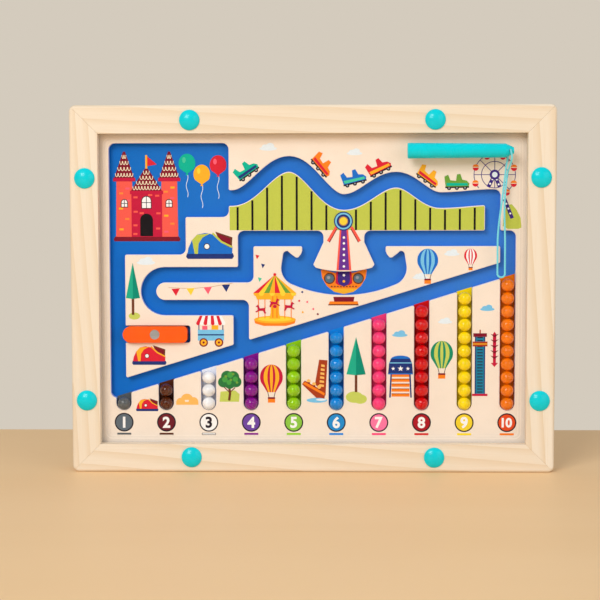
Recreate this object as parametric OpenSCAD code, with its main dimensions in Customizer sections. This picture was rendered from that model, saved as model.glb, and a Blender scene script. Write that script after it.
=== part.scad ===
// Magnetic colour-and-number bead maze board.
// A mitred pine frame holds a two-level maze under a clear lid. Steel beads stand in ten
// counting columns, and a magnetic wand on a cord lies on the lid and drags them about.
// +X is to the right, +Y to the back and +Z up. The origin is the middle of the bottom edge,
// at half the thickness of the wood.

/* [Wooden frame] */
// Width of the frame, left to right
frame_w = 300; // [298:1:306]
// Height of the frame, bottom to top
frame_h = 228; // [228:1:234]
// Thickness of the rails and the back panel together
frame_t = 20; // [20:0.5:24]
// Width of a rail, seen from the front
rail_w = 17.6; // [17.2:0.1:18]
// Radius of the frame's outer corners
corner_r = 4; // [4:0.5:6]
// Radius worked along the front outer edges
edge_r = 2; // [0.5:0.1:2]
// Width of the rebate behind the inner edge of each rail
rebate_w = 4.2; // [3.5:0.1:4.4]
// Thickness of the plywood back panel
panel_t = 4; // [3:0.5:4]

/* [Caps and screws] */
// Diameter of the domed caps
cap_d = 12.6; // [10:0.1:13]
// Height of a dome above the rail
cap_h = 2.8; // [1.5:0.1:4]
// Height of the straight rim under a dome
cap_rim = 0.6; // [0.3:0.1:1]
// Diameter of the threaded barrel under a cap
barrel_d = 5.2; // [4.6:0.1:5.4]
// Length of the threaded barrel
barrel_l = 12; // [10:0.5:12]
// Diameter of the screw shanks
screw_d = 3; // [2.5:0.1:3]
// Diameter of the countersunk screw heads
screw_head_d = 6; // [5.6:0.1:6.4]
// Distance of the long rails' caps from the middle
cap_x = 75.5; // [60:0.5:90]
// Distance of the short rails' caps from half height
cap_z = 69; // [55:0.5:80]

/* [Layers] */
// Thickness of the printed floor sheet
floor_t = 2; // [1.5:0.1:2]
// Thickness of the raised printed layer
raised_t = 5; // [4:0.1:5]
// Depth of the lid's face below the frame's face
lid_recess = 3.7; // [3.4:0.1:3.7]
// Wall thickness of the clear lid
lid_t = 1.7; // [1.2:0.1:1.7]
// Thickness of the lid's flange under the rails
flange_t = 1.5; // [1:0.1:1.5]
// Gap between the opening and the lid's raised walls
lid_inset = 2.7; // [2:0.1:3]

/* [Maze] */
// Width of the bead channels
channel_w = 9.7; // [9.5:0.1:9.8]
// Width of the counting columns
column_w = 9.4; // [9.1:0.1:9.6]
// Distance from one column to the next
column_pitch = 26.68; // [26.6:0.02:26.7]
// Height of the bottom of the columns
column_base_z = 37.7; // [37:0.1:38]
// Diameter of a bead
bead_d = 8.2; // [8:0.05:8.2]
// Distance from one bead to the next in a column
bead_pitch = 8.25; // [8.25:0.01:8.3]

/* [Gate] */
// Length of the sliding gate
gate_l = 40.4; // [36:0.2:40.4]
// Width of the sliding gate
gate_w = 10.2; // [9.5:0.1:10.2]
// Clearance on each side of the gate in its slot
gate_gap = 0.3; // [0.2:0.05:0.5]
// Height of the gate's centre line
gate_z = 85.6; // [85:0.1:86]
// Diameter of the steel disc in the gate
disc_d = 6; // [5:0.1:6.5]

/* [Wand and cord] */
// Length of the wand
wand_l = 65; // [60:0.5:65]
// Diameter of the wand at its magnet end
wand_d = 9.7; // [9:0.1:9.7]
// Diameter of the wand where its tip begins
wand_neck_d = 8.7; // [8:0.1:8.8]
// Diameter of the cord
cord_d = 1.25; // [1.1:0.05:1.3]
// Drop of the cord loop below the wand
cord_drop = 78; // [60:1:80]

/* [Hidden] */
COLOURS = ["#5a5f62", "#55230a", "#e6e8eb", "#820a82", "#96d20a",
           "#007dd2", "#f04682", "#cd050f", "#fadc00", "#eb7805"];
WOOD = "#f3dec3";
TURQUOISE = "#00d6de";
CREAM = "#e8d4be";

$fn = 64;
eps = 0.02;   // overrun of a cut past the face it opens
fit_gap = 0.1;   // clearance between parts that are laid into each other

// Depths, front to back
front_y = -frame_t / 2;
back_y = frame_t / 2;
panel_y = back_y - panel_t;
floor_y = panel_y - floor_t;
raised_y = floor_y - raised_t;
flange_y = raised_y - flange_t;
rebate_y = flange_y - fit_gap;
lid_y = front_y + lid_recess;

// Plan sizes
mid_z = frame_h / 2;
open_w = frame_w - 2 * rail_w;
open_h = frame_h - 2 * rail_w;
tray_w = open_w + 2 * rebate_w - 4 * fit_gap;
tray_h = open_h + 2 * rebate_w - 4 * fit_gap;
mitre_reach = rail_w + rebate_w + 10;   // how far in a mitre plane is drawn

// Caps sit on the middle of the rails, a little inwards
cap_in = 9.4;
CAP_SPOTS = [for (s = [-1, 1]) each [[s * cap_x, cap_in],
                                     [s * cap_x, frame_h - cap_in],
                                     [s * (frame_w / 2 - cap_in), mid_z - cap_z],
                                     [s * (frame_w / 2 - cap_in), mid_z + cap_z]]];

// Counting columns and the ramp that feeds them
columns = 10;
first_bead_z = column_base_z + bead_d / 2 + fit_gap;
ramp_clear = 5.5;   // ramp's lower edge above the centre of each top bead
ramp_slope = bead_pitch / column_pitch;
ramp_h = channel_w * sqrt(1 + ramp_slope * ramp_slope);
bead_y = floor_y - 0.05 - bead_d / 2;

// Centre lines of the straight channels
left_x = -122;
right_x = 121.4;
upper_right_x = 111.8;
shelf_z = 145.4;
drop_x = -41.7;
exit_x = -44.7;
left_bottom_z = 45.4;

// The hairpin on the left
hairpin = [-92.3, 112.5];
hairpin_r = 10.3;

// Castle bay
bay_right_x = -52.1;
bay_step_x = -79.1;
bay_top_z = 204.7;
bay_step_z = 158.8;
bay_low_z = 135.4;

// Crests and dips of the coaster channel's centre line
WAVE = [[bay_right_x - 6, 170.6], [-50, 170.6], [-14.5, 191.7], [19.5, 168], [52, 181.8],
        [79.5, 169.1], [upper_right_x, 170.9]];
wave_steps = 16;

// Boat-shaped bay around the swing ride
boat_x = 19.5;
boat_bottom_z = 110;
boat_hull_r = 80.7;
boat_end_x = 28;
boat_end_z = 126.9;
boat_end_r = 11.1;
boat_tip = [35.5, 135.2];
boat_tip_r = 2.4;
bell_neck = 12.7;
bell_half = 19.1;
bell_neck_z = 143.1;
bell_low_z = 127.6;
bell_sag = 2.8;

// Corner radii of the maze
outer_turn_r = 4;
island_r = 1;

// Gate slot and rest place
gate_left_x = -118.7;
gate_right_x = gate_left_x + gate_l;
slot_right_x = -76.6;
slot_r = 1.6;
gate_end_r = 3;
gate_back_y = floor_y - fit_gap;
gate_front_y = raised_y - 3.2;
disc_x = -98.7;
disc_t = 1.9;

// Wand and cord
wand_x = 58.4;
wand_z = 199.5;
wand_y = lid_y - wand_d / 2 - 0.05;
wand_tip_l = 5;
wand_tip_d = 4;
eye_back = 2.2;   // cord eye, back from the wand's tip
eye_d = 1.9;
eye_x = wand_x + wand_l - eye_back;
cap_plug_l = 3;
cap_face_t = 1.6;
magnet_d = 6;
magnet_l = 10;
cord_r = cord_d / 2;
cord_y = lid_y - cord_r - 0.1;
cord_front_y = wand_y - 4;
cord_loop_r = 2.3;
cord_sway = 4.6;

function column_x(k) = -118.7 + column_pitch * (k - 1);
function bead_z(i) = first_bead_z + bead_pitch * i;
function ramp_z(x) = first_bead_z + ramp_clear + (x - column_x(1)) * ramp_slope;
function ramp_mid(x) = [x, ramp_z(x) + ramp_h / 2];
function blend(t) = (1 - cos(180 * t)) / 2;
function flipped(list) = [for (i = [len(list) - 1 : -1 : 0]) list[i]];

// Smooth line through the crests and dips
function wave_line() = concat(
    [for (i = [0 : len(WAVE) - 2]) for (s = [0 : wave_steps - 1])
        let (t = s / wave_steps, a = WAVE[i], b = WAVE[i + 1])
        [a.x + (b.x - a.x) * t, a.y + (b.y - a.y) * blend(t)]],
    [WAVE[len(WAVE) - 1]]);

// A line moved sideways by d, to its left when d is positive
function beside(line, d) = [for (i = [0 : len(line) - 1])
    let (p = line[max(i - 1, 0)], q = line[min(i + 1, len(line) - 1)])
    line[i] + [p.y - q.y, q.x - p.x] / norm(q - p) * d];

// ---------- shared shapes ----------

// Stands a plan drawn in X and Z upright, from back_face towards the front
module upright(back_face) translate([0, back_face, 0]) rotate([90, 0, 0]) children();

// Plate from y0 to y1 with the plan of its children
module plate(y0, y1) upright(y1) linear_extrude(y1 - y0) children();

module rounded_rect(w, h, r) {
    square([w - 2 * r, h], center = true);
    square([w, h - 2 * r], center = true);
    for (x = [-1, 1], z = [-1, 1])
        translate([x * (w / 2 - r), z * (h / 2 - r)]) circle(r);
}

// Half section of a round plate whose front edge is rounded
module coin_section(r, t, edge) {
    square([r - edge, t]);
    square([r, t - edge]);
    translate([r - edge, t - edge]) circle(edge);
}

// Section of a strip with both front edges rounded
module strip_section(w, t, edge) {
    translate([-w / 2, 0]) square([w, t - edge]);
    translate([edge - w / 2, 0]) square([w - 2 * edge, t]);
    for (s = [-1, 1]) translate([s * (w / 2 - edge), t - edge]) circle(edge);
}

// Plate with rounded corners and a rounded front edge, lying flat
module soft_plate(w, h, t, corner, edge) {
    for (x = [-1, 1], z = [-1, 1])
        translate([x * (w / 2 - corner), z * (h / 2 - corner), 0])
            rotate_extrude() coin_section(corner, t, edge);
    rotate([90, 0, 90])
        linear_extrude(w - 2 * corner, center = true) strip_section(h, t, edge);
    rotate([90, 0, 0])
        linear_extrude(h - 2 * corner, center = true) strip_section(w, t, edge);
}

// Round hole along Y from y0 to y1
module drill(spot, y0, y1, d)
    translate([spot.x, y1, spot.y]) rotate([90, 0, 0]) cylinder(d = d, h = y1 - y0);

// ---------- wooden frame ----------

module frame_blank() {
    barrel_end_y = front_y + barrel_l + fit_gap;
    difference() {
        translate([0, 0, mid_z]) upright(panel_y)
            soft_plate(frame_w, frame_h, panel_y - front_y, corner_r, edge_r);
        translate([0, 0, mid_z]) plate(front_y - eps, panel_y + eps)
            square([open_w, open_h], center = true);
        translate([0, 0, mid_z]) plate(rebate_y, panel_y + eps)
            square([open_w + 2 * rebate_w, open_h + 2 * rebate_w], center = true);
        for (spot = CAP_SPOTS) {
            drill(spot, front_y - eps, barrel_end_y, barrel_d + fit_gap);
            drill(spot, barrel_end_y - eps, panel_y + eps, screw_d + 4 * fit_gap);
        }
    }
}

// Wedge that cuts a rail from the blank, mitred at 45 degrees; w is the rail's outer length
module mitre_wedge(w, h)
    translate([0, 0, mid_z]) plate(front_y - 1, panel_y + 1)
        polygon([[-w / 2, h / 2], [w / 2, h / 2],
                 [w / 2 - mitre_reach, h / 2 - mitre_reach],
                 [mitre_reach - w / 2, h / 2 - mitre_reach]]);

module rail(turn, w, h)
    color(WOOD) intersection() {
        frame_blank();
        translate([0, 0, mid_z]) rotate([0, turn, 0]) translate([0, 0, -mid_z])
            mitre_wedge(w, h);
    }

module back_panel()
    color("#e9cfa6") difference() {
        translate([0, 0, mid_z]) plate(panel_y, back_y)
            rounded_rect(frame_w, frame_h, corner_r);
        for (spot = CAP_SPOTS) {
            drill(spot, panel_y - eps, back_y + eps, screw_d + 4 * fit_gap);
            countersink(spot, screw_head_d + 4 * fit_gap);
        }
    }

// Cone of a countersunk head, open at the back face
module countersink(spot, d)
    translate([spot.x, back_y + eps, spot.y]) rotate([90, 0, 0])
        cylinder(d1 = d, d2 = screw_d, h = (d - screw_d) / 2);

// Domed cap with a threaded barrel that reaches through the rail
module cap_nut(spot) {
    dome_h = cap_h - cap_rim;
    dome_r = (cap_d * cap_d / 4 + dome_h * dome_h) / (2 * dome_h);
    translate([spot.x, front_y, spot.y]) rotate([90, 0, 0]) difference() {
        union() {
            cylinder(d = cap_d, h = cap_rim);
            translate([0, 0, -barrel_l]) cylinder(d = barrel_d, h = barrel_l + eps);
            rotate_extrude() intersection() {
                translate([0, cap_h - dome_r]) circle(dome_r);
                translate([0, cap_rim - eps]) square([cap_d / 2, cap_h]);
            }
        }
        translate([0, 0, -barrel_l - eps]) cylinder(d = screw_d + 0.06, h = barrel_l - 2);
    }
}

module cap_nuts() color(TURQUOISE) for (spot = CAP_SPOTS) cap_nut(spot);

// Countersunk screw with a cross recess, driven from the back
module frame_screw(spot) {
    head_y = back_y - fit_gap;
    head_h = (screw_head_d - screw_d) / 2;
    shank_l = panel_t + barrel_l - 3;
    translate([spot.x, head_y, spot.y]) rotate([90, 0, 0]) difference() {
        union() {
            cylinder(d1 = screw_head_d, d2 = screw_d, h = head_h);
            cylinder(d = screw_d, h = shank_l);
        }
        for (turn = [0, 90]) rotate([0, 0, turn])
            translate([-1.7, -0.4, -eps]) cube([3.4, 0.8, 1.2]);
    }
}

module frame_screws() color("silver") for (spot = CAP_SPOTS) frame_screw(spot);

// ---------- maze ----------

// Straight channel from a to b with square ends
module run(a, b)
    translate([min(a.x, b.x), min(a.y, b.y)] - [1, 1] * channel_w / 2)
        square([abs(a.x - b.x), abs(a.y - b.y)] + [1, 1] * channel_w);

module coaster_channel() {
    line = wave_line();
    polygon(concat(beside(line, channel_w / 2), flipped(beside(line, -channel_w / 2))));
}

module castle_bay() {
    left = left_x - channel_w / 2;
    translate([left, bay_step_z]) square([bay_right_x - left, bay_top_z - bay_step_z]);
    translate([left, bay_low_z]) square([bay_step_x - left, bay_top_z - bay_low_z]);
}

module hairpin_turn()
    translate(hairpin) intersection() {
        difference() {
            circle(hairpin_r + channel_w / 2);
            circle(hairpin_r - channel_w / 2);
        }
        translate([-30, -30]) square([30 + eps, 60]);
    }

module straight_channels() {
    loop_top = hairpin.y + hairpin_r;
    loop_low = hairpin.y - hairpin_r;
    run([left_x, left_bottom_z + channel_w / 2], [left_x, bay_low_z]);
    run([drop_x, shelf_z], [right_x, shelf_z]);
    run([drop_x, loop_top], [drop_x, shelf_z]);
    run([hairpin.x + channel_w / 2, loop_top], [drop_x, loop_top]);
    run([hairpin.x + channel_w / 2, loop_low], [exit_x, loop_low]);
    run([exit_x, ramp_mid(exit_x).y], [exit_x, loop_low]);
    run([right_x, ramp_z(right_x) + channel_w / 2], [right_x, shelf_z]);
    run([upper_right_x, shelf_z], [upper_right_x, WAVE[len(WAVE) - 1].y]);
}

module ramp()
    polygon([[left_x, ramp_z(left_x)], [right_x, ramp_z(right_x)],
             ramp_mid(right_x) + [0, ramp_h / 2], ramp_mid(left_x) + [0, ramp_h / 2]]);

module column_slot(k) {
    low = column_base_z + column_w / 2;
    translate([column_x(k), low]) circle(d = column_w);
    translate([column_x(k) - column_w / 2, low])
        square([column_w, ramp_mid(column_x(k)).y - low]);
}

// Island that hangs into the boat bay and carries the swing ride
module bell() {
    half = bell_half - 1.6;
    rim = [for (x = [-half : half / 8 : half])
        [x, bell_low_z - bell_sag * (1 - pow(x / bell_half, 2))]];
    translate([boat_x, 0]) polygon(concat(
        [[bell_neck, shelf_z + channel_w], [bell_neck, bell_neck_z],
         [bell_half, bell_low_z + 1.5]], flipped(rim),
        [[-bell_half, bell_low_z + 1.5], [-bell_neck, bell_neck_z],
         [-bell_neck, shelf_z + channel_w]]));
}

// Spur of the lower island beside each tip of the boat
module spur()
    polygon([[41, 142], [41, 138.4], [35.2, 137.8], [33, 135.8], [29.9, 133.5],
             [28.5, 133.5], [26.8, 135.5], [26, 137.6], [26.1, 142]]);

module boat_bay()
    translate([boat_x, 0]) difference() {
        union() {
            hull() for (s = [-1, 1]) {
                translate([s * boat_tip.x, boat_tip.y]) circle(boat_tip_r);
                translate([s * boat_end_x, boat_end_z]) circle(boat_end_r);
            }
            intersection() {
                translate([0, boat_bottom_z + boat_hull_r]) circle(boat_hull_r, $fn = 160);
                translate([-32.4, boat_bottom_z]) square([64.8, 20]);
            }
            translate([-26, 130]) square([52, shelf_z - 130]);
        }
        spur();
        mirror([1, 0]) spur();
    }

// Everything that is cut through the raised layer for the beads
module channels($fn = 40)
    offset(r = -island_r) offset(r = island_r) difference() {
        union() {
            offset(r = outer_turn_r) offset(r = -outer_turn_r) difference() {
                union() {
                    castle_bay();
                    straight_channels();
                    coaster_channel();
                    hairpin_turn();
                    ramp();
                }
                bell();
            }
            boat_bay();
            for (k = [1 : columns]) column_slot(k);
        }
        bell();
    }

module gate_slot() {
    slot_l = slot_right_x - left_x;
    translate([slot_right_x - slot_l / 2, gate_z])
        rounded_rect(slot_l, gate_w + 2 * gate_gap, slot_r);
}

module raised_plan()
    difference() {
        translate([0, mid_z]) square([tray_w, tray_h], center = true);
        channels();
        gate_slot();
    }

// Middle of the channels from the ramp, round the hairpin and the boat bay, to the right shelf
SERPENTINE = concat(
    [ramp_mid(exit_x), [exit_x, hairpin.y - hairpin_r]],
    [for (a = [270 : -30 : 90]) hairpin + hairpin_r * [cos(a), sin(a)]],
    [[drop_x, hairpin.y + hairpin_r], [drop_x, shelf_z],
     [boat_x - 22.8, shelf_z], [boat_x - 23.2, 122], [boat_x, 117], [boat_x + 23.2, 122],
     [boat_x + 22.8, shelf_z]]);

module lower_region()
    polygon(concat(SERPENTINE, [[right_x, shelf_z], ramp_mid(right_x)]));

module upper_region()
    polygon(concat(SERPENTINE, [[upper_right_x, shelf_z]], flipped(wave_line()),
        [[bay_step_x - 5, WAVE[0].y], [bay_step_x - 5, shelf_z], [left_x, shelf_z],
         ramp_mid(left_x)]));

module floor_sheet()
    color("#1478c8") translate([0, 0, mid_z]) plate(floor_y, panel_y)
        square([tray_w, tray_h], center = true);

module maze_surround()
    color(CREAM) plate(raised_y, floor_y) difference() {
        raised_plan();
        upper_region();
        lower_region();
    }

module upper_island()
    color(CREAM) plate(raised_y, floor_y) intersection() {
        raised_plan();
        upper_region();
    }

module lower_island()
    color(CREAM) plate(raised_y, floor_y) intersection() {
        raised_plan();
        lower_region();
    }

// Moulded lid: a flange held under the rails and a raised window with upright walls
module clear_lid() {
    w = open_w - 2 * lid_inset;
    h = open_h - 2 * lid_inset;
    color([0.9, 0.95, 1, 0.3]) difference() {
        union() {
            translate([0, 0, mid_z]) plate(flange_y, raised_y)
                square([tray_w, tray_h], center = true);
            translate([0, 0, mid_z]) upright(raised_y)
                soft_plate(w, h, raised_y - lid_y, 4, 1);
        }
        translate([0, 0, mid_z]) plate(lid_y + lid_t, raised_y + eps)
            rounded_rect(w - 2 * lid_t, h - 2 * lid_t, 4 - lid_t);
    }
}

// ---------- gate ----------

module gate_plan() {
    translate([gate_left_x + gate_w / 2, gate_z]) circle(d = gate_w);
    translate([gate_left_x + gate_w / 2, gate_z - gate_w / 2])
        square([gate_l - gate_w / 2 - gate_end_r, gate_w]);
    translate([gate_right_x - 10, gate_z]) rounded_rect(20, gate_w, gate_end_r);
}

module gate_slider()
    color("#ff5f00") difference() {
        plate(gate_front_y, gate_back_y) gate_plan();
        drill([disc_x, gate_z], gate_front_y - eps, gate_front_y + disc_t + 0.05,
              disc_d + fit_gap);
    }

module gate_steel_disc()
    color("silver") drill([disc_x, gate_z], gate_front_y + 0.05, gate_front_y + disc_t, disc_d);

// ---------- wand and cord ----------

// Turns a section drawn along the wand into the wand's place
module along_wand() translate([wand_x, wand_y, wand_z]) rotate([0, 90, 0]) children();

module wand_body() {
    bore_l = cap_plug_l + magnet_l + fit_gap;
    neck = wand_l - wand_tip_l;
    color(TURQUOISE) difference() {
        along_wand() rotate_extrude() polygon([
            [magnet_d / 2 + 0.05, cap_face_t], [wand_d / 2, cap_face_t],
            [wand_neck_d / 2, neck], [wand_tip_d / 2, wand_l], [0, wand_l],
            [0, cap_face_t + bore_l], [magnet_d / 2 + 0.05, cap_face_t + bore_l]]);
        drill([eye_x, wand_z], wand_y - 6, wand_y + 6, eye_d);
    }
}

module wand_magnet()
    color("#8a8d90") along_wand()
        translate([0, 0, cap_face_t + cap_plug_l]) cylinder(d = magnet_d, h = magnet_l);

// Rounded end cap with a plug that holds the magnet in
module wand_end_cap()
    color(TURQUOISE) along_wand() {
        mirror([0, 0, 1]) translate([0, 0, -cap_face_t]) rotate_extrude()
            coin_section(wand_d / 2, cap_face_t, cap_face_t / 2);
        cylinder(d = magnet_d, h = cap_face_t + cap_plug_l);
    }

// Point on a strand of the cord: s down from the eye, side -1 or 1
function strand(s, side) =
    let (opening = blend(min(max((s - 24) / 34, 0), 1)),
         gap = cord_r + 0.05 + (cord_loop_r - cord_r - 0.05) * opening,
         sway = -cord_sway * sin(min(s / 55, 1) * 90))
    [eye_x + sway + side * gap, cord_y, wand_z - s];

function cord_path() =
    let (straight_l = cord_drop - cord_loop_r, end = strand(straight_l, 0))
    concat(
        [[eye_x, wand_y, wand_z], [eye_x, cord_y, wand_z]],
        [for (s = [8 : (straight_l - 8) / 12 : straight_l]) strand(s, -1)],
        [for (a = [20 : 20 : 160])
            end + cord_loop_r * [-cos(a), 0, -sin(a)]],
        [for (s = [straight_l : (8 - straight_l) / 12 : 14]) strand(s, 1)],
        [[eye_x + 0.7, cord_front_y, wand_z - 5], [eye_x, cord_front_y, wand_z],
         [eye_x, wand_y, wand_z]]);

module wand_cord() {
    path = cord_path();
    color("#78e1f0") for (i = [0 : len(path) - 2])
        hull() {
            translate(path[i]) sphere(cord_r, $fn = 16);
            translate(path[i + 1]) sphere(cord_r, $fn = 16);
        }
}

// ---------- beads ----------

// Bead i of column k, counted from the bottom
module bead(k, i)
    color(COLOURS[k - 1]) translate([column_x(k), bead_y, bead_z(i)]) sphere(d = bead_d);

module lower_beads(k) for (i = [0 : k - 2]) bead(k, i);

module top_bead(k) bead(k, k - 1);

rail(0, frame_w, frame_h);  // top_rail
rail(180, frame_w, frame_h);  // bottom_rail
rail(-90, frame_h, frame_w);  // left_rail
rail(90, frame_h, frame_w);  // right_rail
back_panel();
cap_nuts();
frame_screws();
floor_sheet();
maze_surround();
upper_island();
lower_island();
clear_lid();
gate_slider();
gate_steel_disc();
wand_body();
wand_magnet();
wand_end_cap();
wand_cord();
top_bead(1);  // grey_bead
lower_beads(2);  // brown_lower_beads
top_bead(2);  // brown_top_bead
lower_beads(3);  // white_lower_beads
top_bead(3);  // white_top_bead
lower_beads(4);  // purple_lower_beads
top_bead(4);  // purple_top_bead
lower_beads(5);  // green_lower_beads
top_bead(5);  // green_top_bead
lower_beads(6);  // blue_lower_beads
top_bead(6);  // blue_top_bead
lower_beads(7);  // pink_lower_beads
top_bead(7);  // pink_top_bead
lower_beads(8);  // red_lower_beads
top_bead(8);  // red_top_bead
lower_beads(9);  // yellow_lower_beads
top_bead(9);  // yellow_top_bead
lower_beads(10);  // orange_lower_beads
top_bead(10);  // orange_top_bead
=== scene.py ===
"""Looks for the magnetic bead maze board: finishes, printed pictures, cord, camera and light.

Lengths are millimetres in the CAD frame, and MM turns them into metres. Only the depths of
patterns in materials, the lights and the camera are in metres. +X is to the right, +Y to the back,
+Z up the board.
"""

from math import asin, cos, hypot, pi, radians, sin, tau

import bpy
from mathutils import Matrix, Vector


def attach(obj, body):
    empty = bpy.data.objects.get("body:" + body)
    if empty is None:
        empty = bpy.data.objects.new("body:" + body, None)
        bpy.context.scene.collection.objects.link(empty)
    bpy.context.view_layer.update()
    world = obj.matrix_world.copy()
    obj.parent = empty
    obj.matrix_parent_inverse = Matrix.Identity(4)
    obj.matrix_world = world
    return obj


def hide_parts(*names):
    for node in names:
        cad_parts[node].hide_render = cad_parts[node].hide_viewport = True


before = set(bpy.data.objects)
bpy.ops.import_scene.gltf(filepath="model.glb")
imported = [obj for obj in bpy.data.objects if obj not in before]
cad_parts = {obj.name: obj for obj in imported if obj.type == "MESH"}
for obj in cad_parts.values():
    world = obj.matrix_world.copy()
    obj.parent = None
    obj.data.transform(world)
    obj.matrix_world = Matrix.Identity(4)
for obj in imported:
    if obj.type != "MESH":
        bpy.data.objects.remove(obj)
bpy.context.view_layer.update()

MM = 0.001

# Places of the layers on Y, front to back: rails' face, raised board, floor sheet
FACE_Y = -10.0
RAISED_Y = -1.0
FLOOR_Y = 4.0

# Maze
COLUMN_FIRST_X = -118.7
COLUMN_PITCH = 26.68
COLUMN_WIDTH = 9.4
COLUMN_BASE_Z = 37.7
BEAD_PITCH = 8.25
RAMP_START_Z = 47.4
CHANNEL_WIDTH = 9.7
RAIL_GAP = 0.5
WAVE = [(-58.1, 170.6), (-50, 170.6), (-14.5, 191.7), (19.5, 168), (52, 181.8), (79.5, 169.1),
        (111.8, 170.9)]

# Rounding of edges, and how far the lid's skin is drawn in
RAIL_ROUND = 0.25
BOARD_ROUND = 0.4
GATE_ROUND = 0.8
LID_DRAW_IN = 0.03

# Caps, as x and z
CAP_SPOTS = [(side * x, z) for side in (-1, 1)
             for x, z in ((75.5, 9.4), (75.5, 218.6), (140.6, 45), (140.6, 183))]

# Wand's cord
EYE_X = 121.2
WAND_Y = -11.2
WAND_Z = 199.5
CORD_Y = -7.025
CORD_FRONT_Y = -15.2
CORD_D = 1.25
CORD_LOOP_R = 2.3
CORD_SWAY = 4.6
CORD_DROP = 78

BEAD_COLOURS = {
    "grey": (90, 95, 98), "brown": (85, 35, 10), "white": (246, 247, 250),
    "purple": (138, 8, 142), "green": (150, 210, 10), "blue": (0, 136, 226),
    "pink": (250, 60, 124), "red": (214, 2, 10), "yellow": (250, 220, 0),
    "orange": (246, 122, 0)}
DISC_COLOURS = [(96, 108, 118), (110, 28, 40), (245, 245, 245), (110, 70, 165), (140, 200, 70),
                (35, 140, 210), (245, 120, 165), (170, 20, 35), (240, 210, 50), (225, 75, 30)]

PAINT = {
    "white": (246, 246, 246), "black": (22, 16, 22), "ink": (38, 28, 40), "cream": (250, 236, 205),
    "red": (218, 34, 54), "crimson": (196, 22, 62), "maroon": (128, 18, 40),
    "coral": (243, 92, 78), "brick": (250, 140, 60), "rose": (246, 96, 120),
    "orange": (245, 130, 30), "amber": (250, 178, 40), "yellow": (252, 212, 60),
    "lime": (190, 200, 80), "grass": (196, 208, 96), "leaf": (110, 160, 60),
    "green": (70, 160, 70), "forest": (44, 118, 62), "pine": (30, 172, 140),
    "spruce": (0, 140, 116), "teal": (0, 182, 152), "petrol": (28, 124, 158),
    "jade": (24, 140, 104), "mint": (70, 200, 160),
    "sky": (120, 195, 235), "cloud": (226, 238, 246), "blue": (25, 110, 205),
    "navy": (32, 52, 120), "indigo": (64, 42, 130), "violet": (104, 52, 150),
    "tan": (190, 140, 90), "brown": (110, 58, 36), "rust": (168, 62, 28),
    "sand": (246, 186, 96), "grey": (150, 155, 165), "slate": (84, 112, 128)}


def srgb(red, green, blue):
    """Linear RGBA of a screen colour given from 0 to 255."""
    def linear(value):
        value /= 255
        return value / 12.92 if value <= 0.04045 else ((value + 0.055) / 1.055) ** 2.4
    return (linear(red), linear(green), linear(blue), 1.0)


# ---------- shader helpers ----------


def add_node(tree, kind, inputs=None, **settings):
    """Adds a shader node; a socket given as an input is linked, anything else is its value."""
    made = tree.nodes.new("ShaderNode" + kind)
    for key, value in settings.items():
        setattr(made, key, value)
    for key, value in (inputs or {}).items():
        if isinstance(value, bpy.types.NodeSocket):
            tree.links.new(value, made.inputs[key])
        else:
            made.inputs[key].default_value = value
    return made


def empty_material(name):
    material = bpy.data.materials.new(name)
    material.use_nodes = True
    material.node_tree.nodes.clear()
    return material, material.node_tree


def new_material(name, **inputs):
    """A material with one principled shader; underscores in input names stand for spaces."""
    material, tree = empty_material(name)
    named = {key.replace("_", " "): value for key, value in inputs.items()}
    shader = add_node(tree, "BsdfPrincipled", named)
    add_node(tree, "OutputMaterial", {"Surface": shader.outputs[0]})
    return material, tree, shader


def position(tree, stretch=(1, 1, 1)):
    """Place on the object at rest, in metres, times stretch on each axis."""
    place = add_node(tree, "TexCoord").outputs["Object"]
    mapping = add_node(tree, "Mapping", {"Vector": place, "Scale": stretch})
    return mapping.outputs[0]


def noise(tree, scale, stretch=(1, 1, 1), detail=3.0, roughness=0.5, distortion=0.0):
    made = add_node(tree, "TexNoise", {
        "Vector": position(tree, stretch), "Scale": scale, "Detail": detail,
        "Roughness": roughness, "Distortion": distortion})
    return made.outputs[0]


def remap(tree, value, low, high, to_low, to_high):
    made = add_node(tree, "MapRange", {
        "Value": value, "From Min": low, "From Max": high, "To Min": to_low, "To Max": to_high})
    return made.outputs[0]


def mix(tree, factor, first, second, blend="MIX"):
    """Mixes two colours, each a socket or a screen colour."""
    colours = [srgb(*value) if isinstance(value, tuple) else value for value in (first, second)]
    made = add_node(tree, "MixRGB", {
        "Fac": factor, "Color1": colours[0], "Color2": colours[1]}, blend_type=blend)
    return made.outputs[0]


def vary(tree, field, low, high, most, first, second):
    """First colour, going over to the second by up to most as the field rises."""
    return mix(tree, remap(tree, field, low, high, 0.0, most), first, second)


def darker(colour, share):
    return tuple(share * value for value in colour)


def feed(tree, shader, colour, roughness=None):
    """Links a colour and, where it varies, a roughness to the shader."""
    tree.links.new(colour, shader.inputs["Base Color"])
    if roughness is not None:
        tree.links.new(roughness, shader.inputs["Roughness"])


def axis_place(tree, axis):
    """Place on the object along one axis, in metres."""
    return add_node(tree, "SeparateXYZ", {0: position(tree)}).outputs[axis]


def bump(tree, shader, height, depth):
    """Lets height, from 0 to 1, stand for depth metres of relief."""
    made = add_node(tree, "Bump", {"Height": height, "Distance": depth})
    tree.links.new(made.outputs[0], shader.inputs["Normal"])


# ---------- materials ----------


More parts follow.
